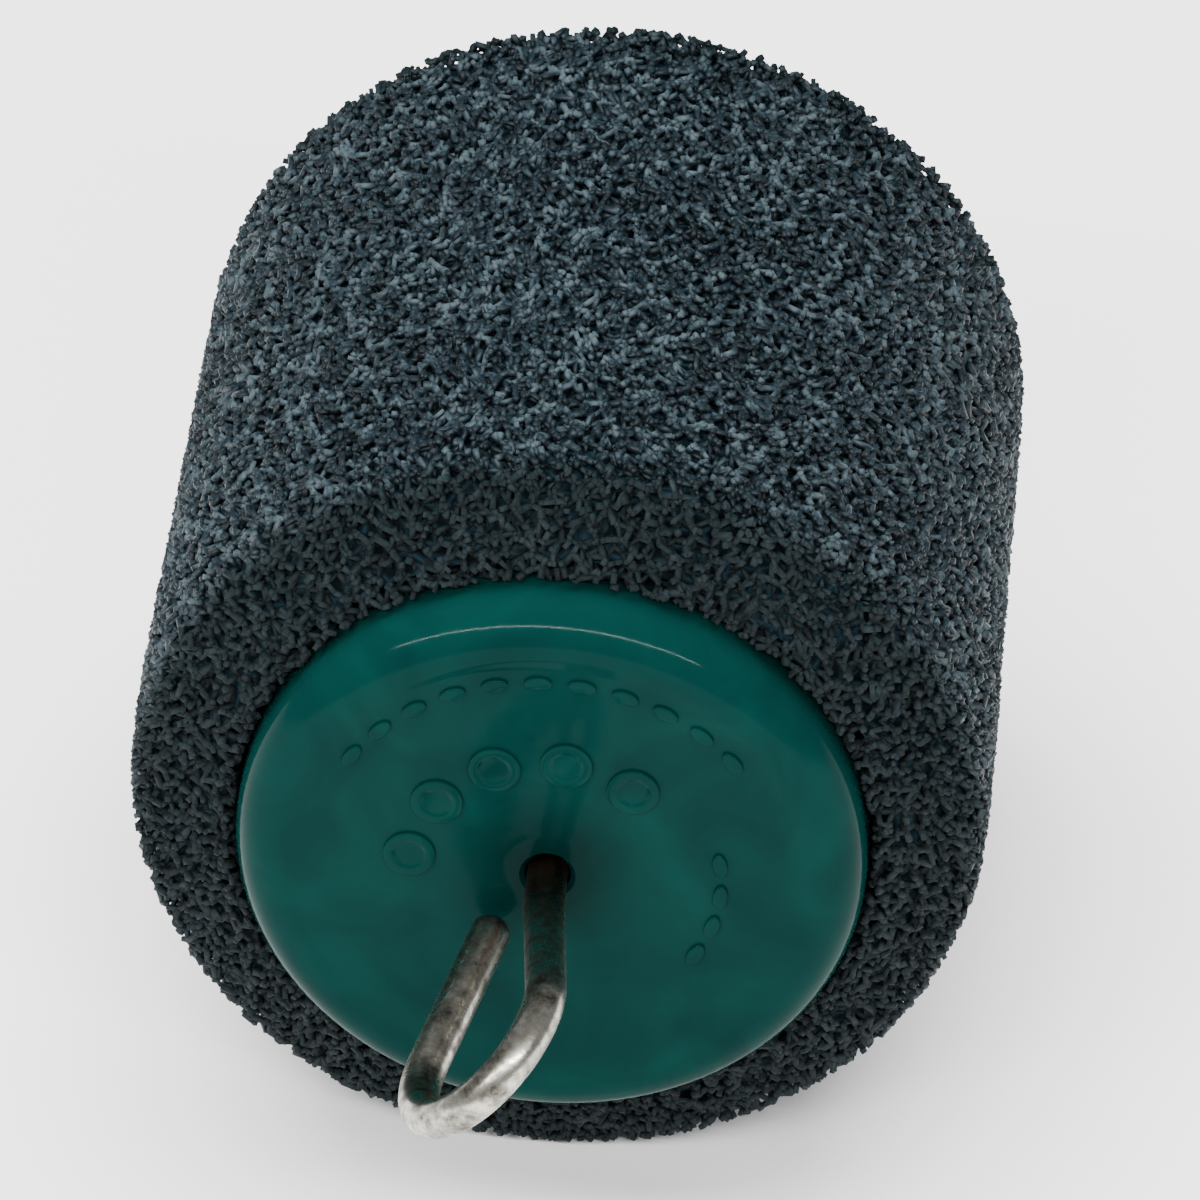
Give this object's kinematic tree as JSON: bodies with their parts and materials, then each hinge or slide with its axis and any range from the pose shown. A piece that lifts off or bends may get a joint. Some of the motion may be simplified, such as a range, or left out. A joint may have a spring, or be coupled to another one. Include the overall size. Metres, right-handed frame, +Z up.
{
  "type": "foam conduit piston",
  "caption": "Coarse open-cell foam cylinder gripped between two dished end discs on a swivelling tie rod with a bent wire pull eye at each end.",
  "frame": {"origin": "on the floor under the middle of the foam, with the piston lying on its side", "axes": "+Z up; +Y along the rod from the front end, shown in the picture, to the rear end; +X to the right as seen from the front"},
  "size_m": [0.106, 0.199, 0.106],
  "materials": {
    "foam": "coarse open-cell foam, matt",
    "disc": "glossy moulded plastic",
    "wire": "bright zinc-plated steel wire",
    "nuts": "zinc-plated steel",
    "tube": "natural extruded plastic"
  },
  "bodies": {
    "foam": {"foam_body": "foam", "spacer_tube": "tube"},
    "tie_rod": {"front_eye": "wire", "rear_eye": "wire", "coupling_nut": "nuts", "front_lock_nut": "nuts", "rear_lock_nut": "nuts"},
    "front_plate": {"front_disc": "disc"},
    "rear_plate": {"rear_disc": "disc"}
  },
  "joints": [
    {"name": "rod_swivel", "type": "hinge", "parent": "foam", "child": "tie_rod", "pos_m": [0, 0, 0.053], "axis": [0, 1, 0], "continuous": true},
    {"name": "front_press", "type": "slide", "parent": "foam", "child": "front_plate", "axis": [0, 1, 0], "range_m": [0, 0.006], "stiffness_N_per_m": 1500, "deforming": ["foam_body"]},
    {"name": "rear_press", "type": "slide", "parent": "foam", "child": "rear_plate", "axis": [0, -1, 0], "range_m": [0, 0.006], "stiffness_N_per_m": 1500, "deforming": ["foam_body"]}
  ]
}
